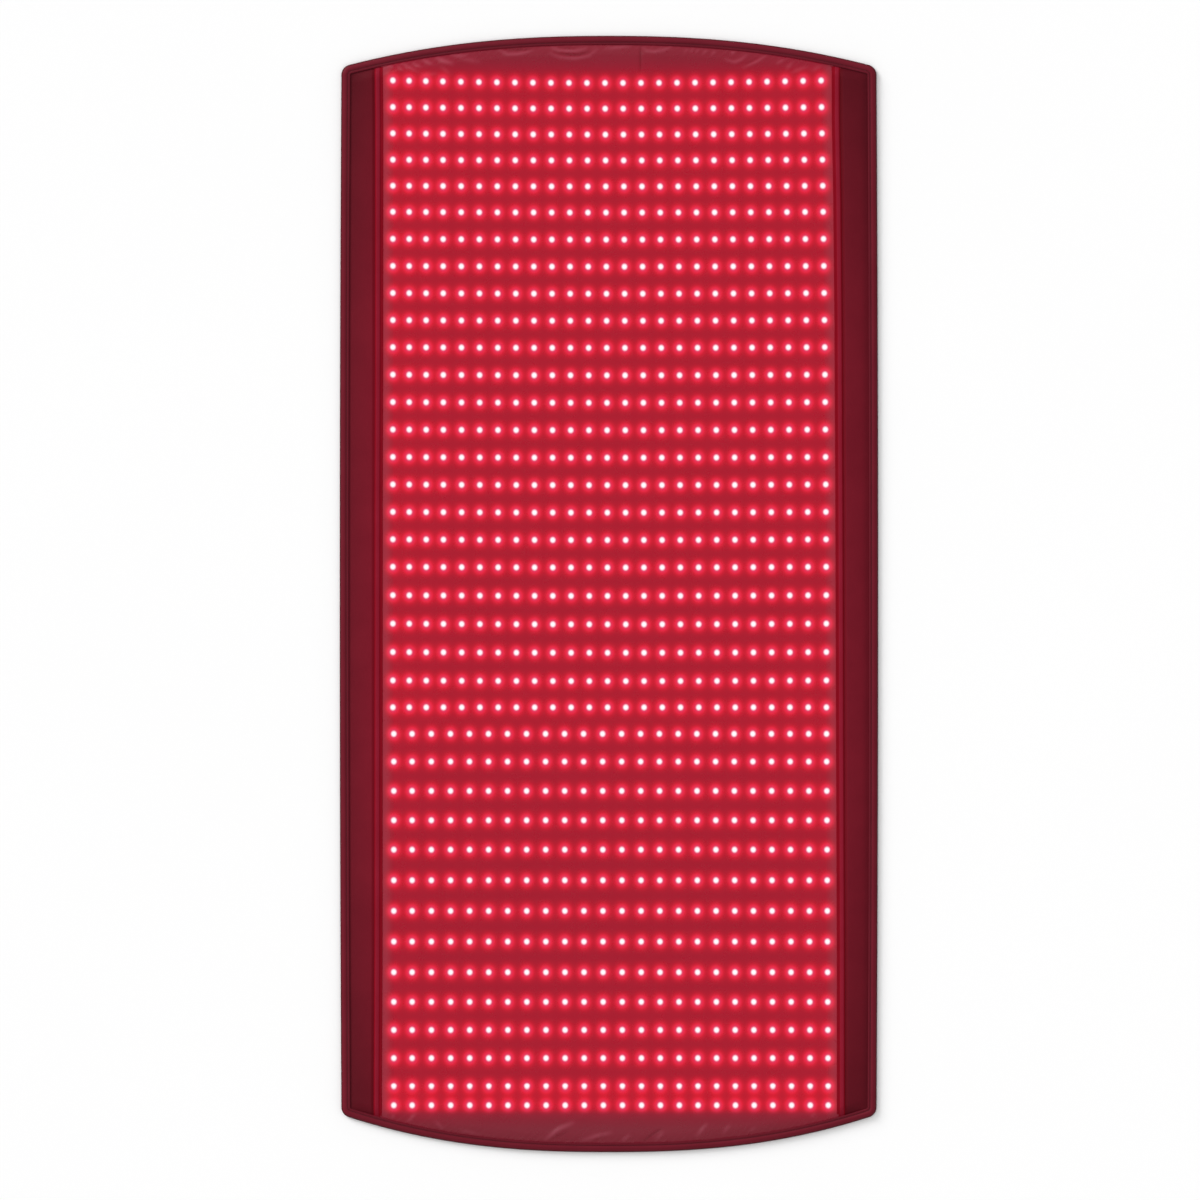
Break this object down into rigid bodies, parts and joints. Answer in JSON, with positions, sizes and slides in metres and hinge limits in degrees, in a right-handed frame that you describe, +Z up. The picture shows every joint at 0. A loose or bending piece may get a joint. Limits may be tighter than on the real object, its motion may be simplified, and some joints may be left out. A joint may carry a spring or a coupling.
{
  "type": "red light therapy mat",
  "caption": "Full-length padded mat that shines rows of red lamps through a clear film window and folds flat for storage.",
  "frame": {"origin": "middle of the underside of the open mat", "axes": "+Z up, the way the lamps face; +Y towards the head end; +X to the right seen from above with the head end up"},
  "size_m": [0.867, 1.8, 0.0118],
  "materials": {
    "film": "clear red-lit film, slightly wrinkled",
    "lamp": "glowing lamp packages on circuit strips",
    "reflector": "pale sheet lit red",
    "foam": "closed-cell foam",
    "back_cloth": "matt coated cloth",
    "leathercloth": "fine-grained leathercloth",
    "welt": "narrow folded leathercloth strip",
    "binding": "folded binding tape",
    "moulded": "moulded plastic",
    "brass": "contact pins",
    "copper": "flat copper conductor",
    "lead": "flat two-core lead"
  },
  "bodies": {
    "foot_panel": {"foot_panel_window_film": "film", "foot_panel_lamp_ladder": "lamp", "foot_panel_reflector_sheet": "reflector", "foot_panel_foam_core": "foam", "foot_panel_back_cover": "back_cloth", "foot_panel_left_border": "leathercloth", "foot_panel_right_border": "leathercloth", "foot_panel_left_welt": "welt", "foot_panel_right_welt": "welt", "foot_panel_left_binding": "binding", "foot_panel_right_binding": "binding"},
    "foot_flap": {"foot_flap_window_film": "film", "foot_flap_lamp_ladder": "lamp", "foot_flap_reflector_sheet": "reflector", "foot_flap_foam_core": "foam", "foot_flap_back_cover": "back_cloth", "foot_flap_left_border": "leathercloth", "foot_flap_right_border": "leathercloth", "foot_flap_left_welt": "welt", "foot_flap_right_welt": "welt", "foot_flap_left_binding": "binding", "foot_flap_right_binding": "binding", "foot_end_binding": "binding", "terminal_box": "moulded", "inlet_socket": "moulded", "inlet_left_pin": "brass", "inlet_right_pin": "brass", "inner_lead": "lead", "left_supply_wire": "copper", "right_supply_wire": "copper"},
    "head_panel": {"head_panel_window_film": "film", "head_panel_lamp_ladder": "lamp", "head_panel_reflector_sheet": "reflector", "head_panel_foam_core": "foam", "head_panel_back_cover": "back_cloth", "head_panel_left_border": "leathercloth", "head_panel_right_border": "leathercloth", "head_panel_left_welt": "welt", "head_panel_right_welt": "welt", "head_panel_left_binding": "binding", "head_panel_right_binding": "binding"},
    "head_flap": {"head_flap_window_film": "film", "head_flap_lamp_ladder": "lamp", "head_flap_reflector_sheet": "reflector", "head_flap_foam_core": "foam", "head_flap_back_cover": "back_cloth", "head_flap_left_border": "leathercloth", "head_flap_right_border": "leathercloth", "head_flap_left_welt": "welt", "head_flap_right_welt": "welt", "head_flap_left_binding": "binding", "head_flap_right_binding": "binding", "head_end_binding": "binding"}
  },
  "joints": [
    {"name": "middle_fold", "type": "hinge", "parent": "foot_panel", "child": "head_panel", "pos_m": [0, -0.02566, 0.02435], "axis": [1, 0, 0], "range_deg": [0, 180]},
    {"name": "head_flap_fold", "type": "hinge", "parent": "head_panel", "child": "head_flap", "pos_m": [0, 0.46314, 0.01205], "axis": [1, 0, 0], "range_deg": [0, 180]},
    {"name": "foot_flap_fold", "type": "hinge", "parent": "foot_panel", "child": "foot_flap", "pos_m": [0, -0.48689, 0.01205], "axis": [-1, 0, 0], "range_deg": [0, 180]}
  ]
}
